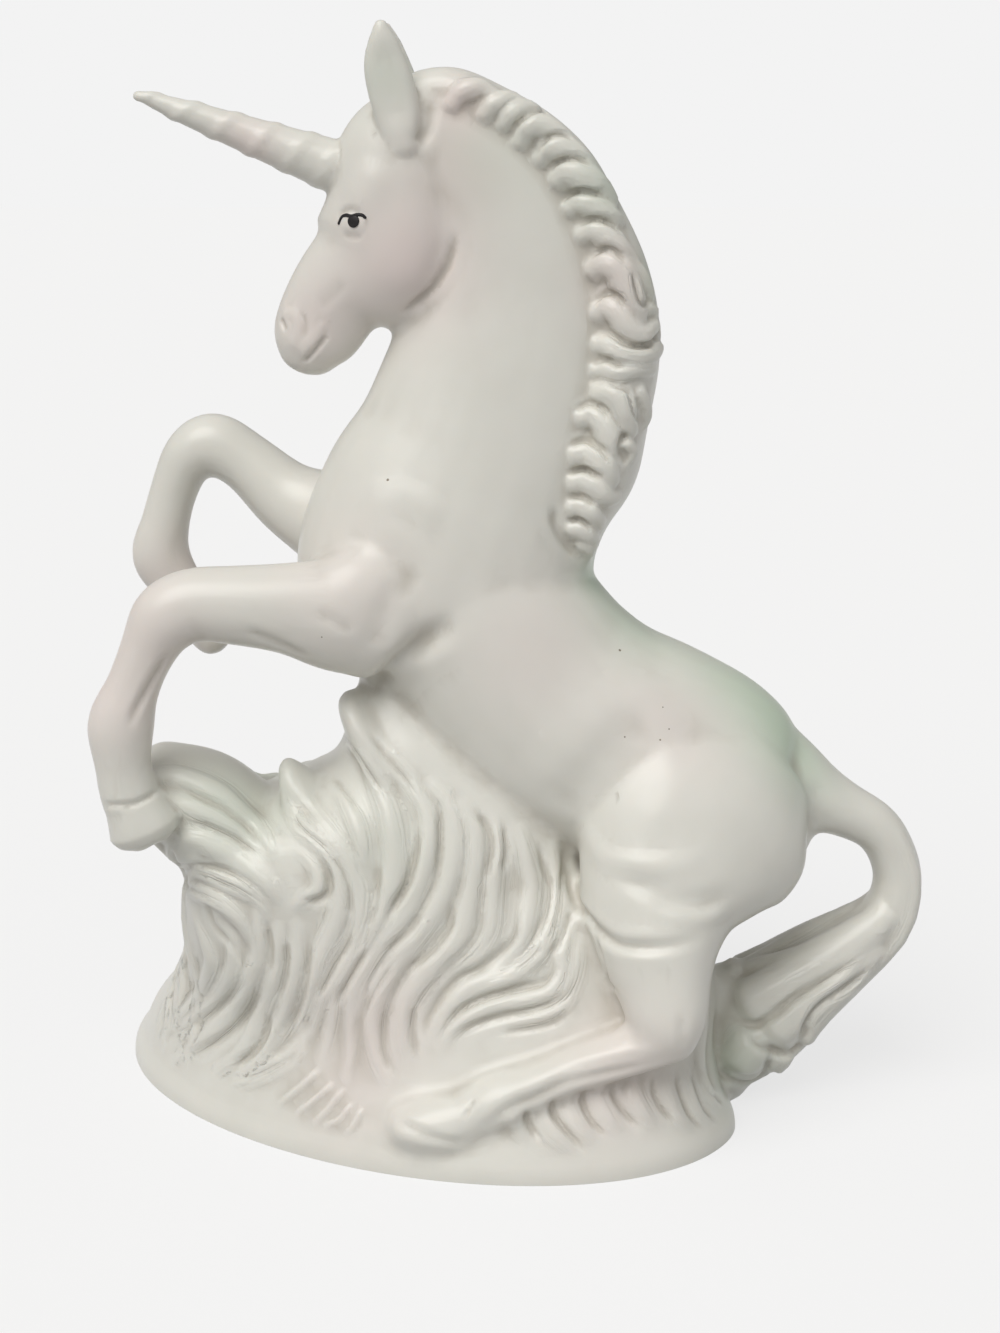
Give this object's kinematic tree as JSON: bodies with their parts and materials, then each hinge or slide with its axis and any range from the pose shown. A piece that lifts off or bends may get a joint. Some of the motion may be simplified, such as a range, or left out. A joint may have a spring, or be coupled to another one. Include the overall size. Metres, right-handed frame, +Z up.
{
  "type": "unicorn figurine",
  "caption": "Satin white ceramic unicorn rearing over a mound of swirling grass on an oval foot, with a spiral horn, curled mane and sweeping tail.",
  "frame": {"origin": "on the flat underside of the oval foot, in the figure's middle plane and near the middle of the foot", "axes": "+Z up, the unicorn faces -X, its left side is -Y"},
  "size_m": [0.1663, 0.0941, 0.2146],
  "materials": {
    "bisque": "satin off-white unglazed porcelain with a faint pink and green pearl",
    "eye_paint": "black painted by brush on the fired surface"
  },
  "bodies": {
    "root": {"unicorn_figure": "bisque"}
  },
  "joints": []
}
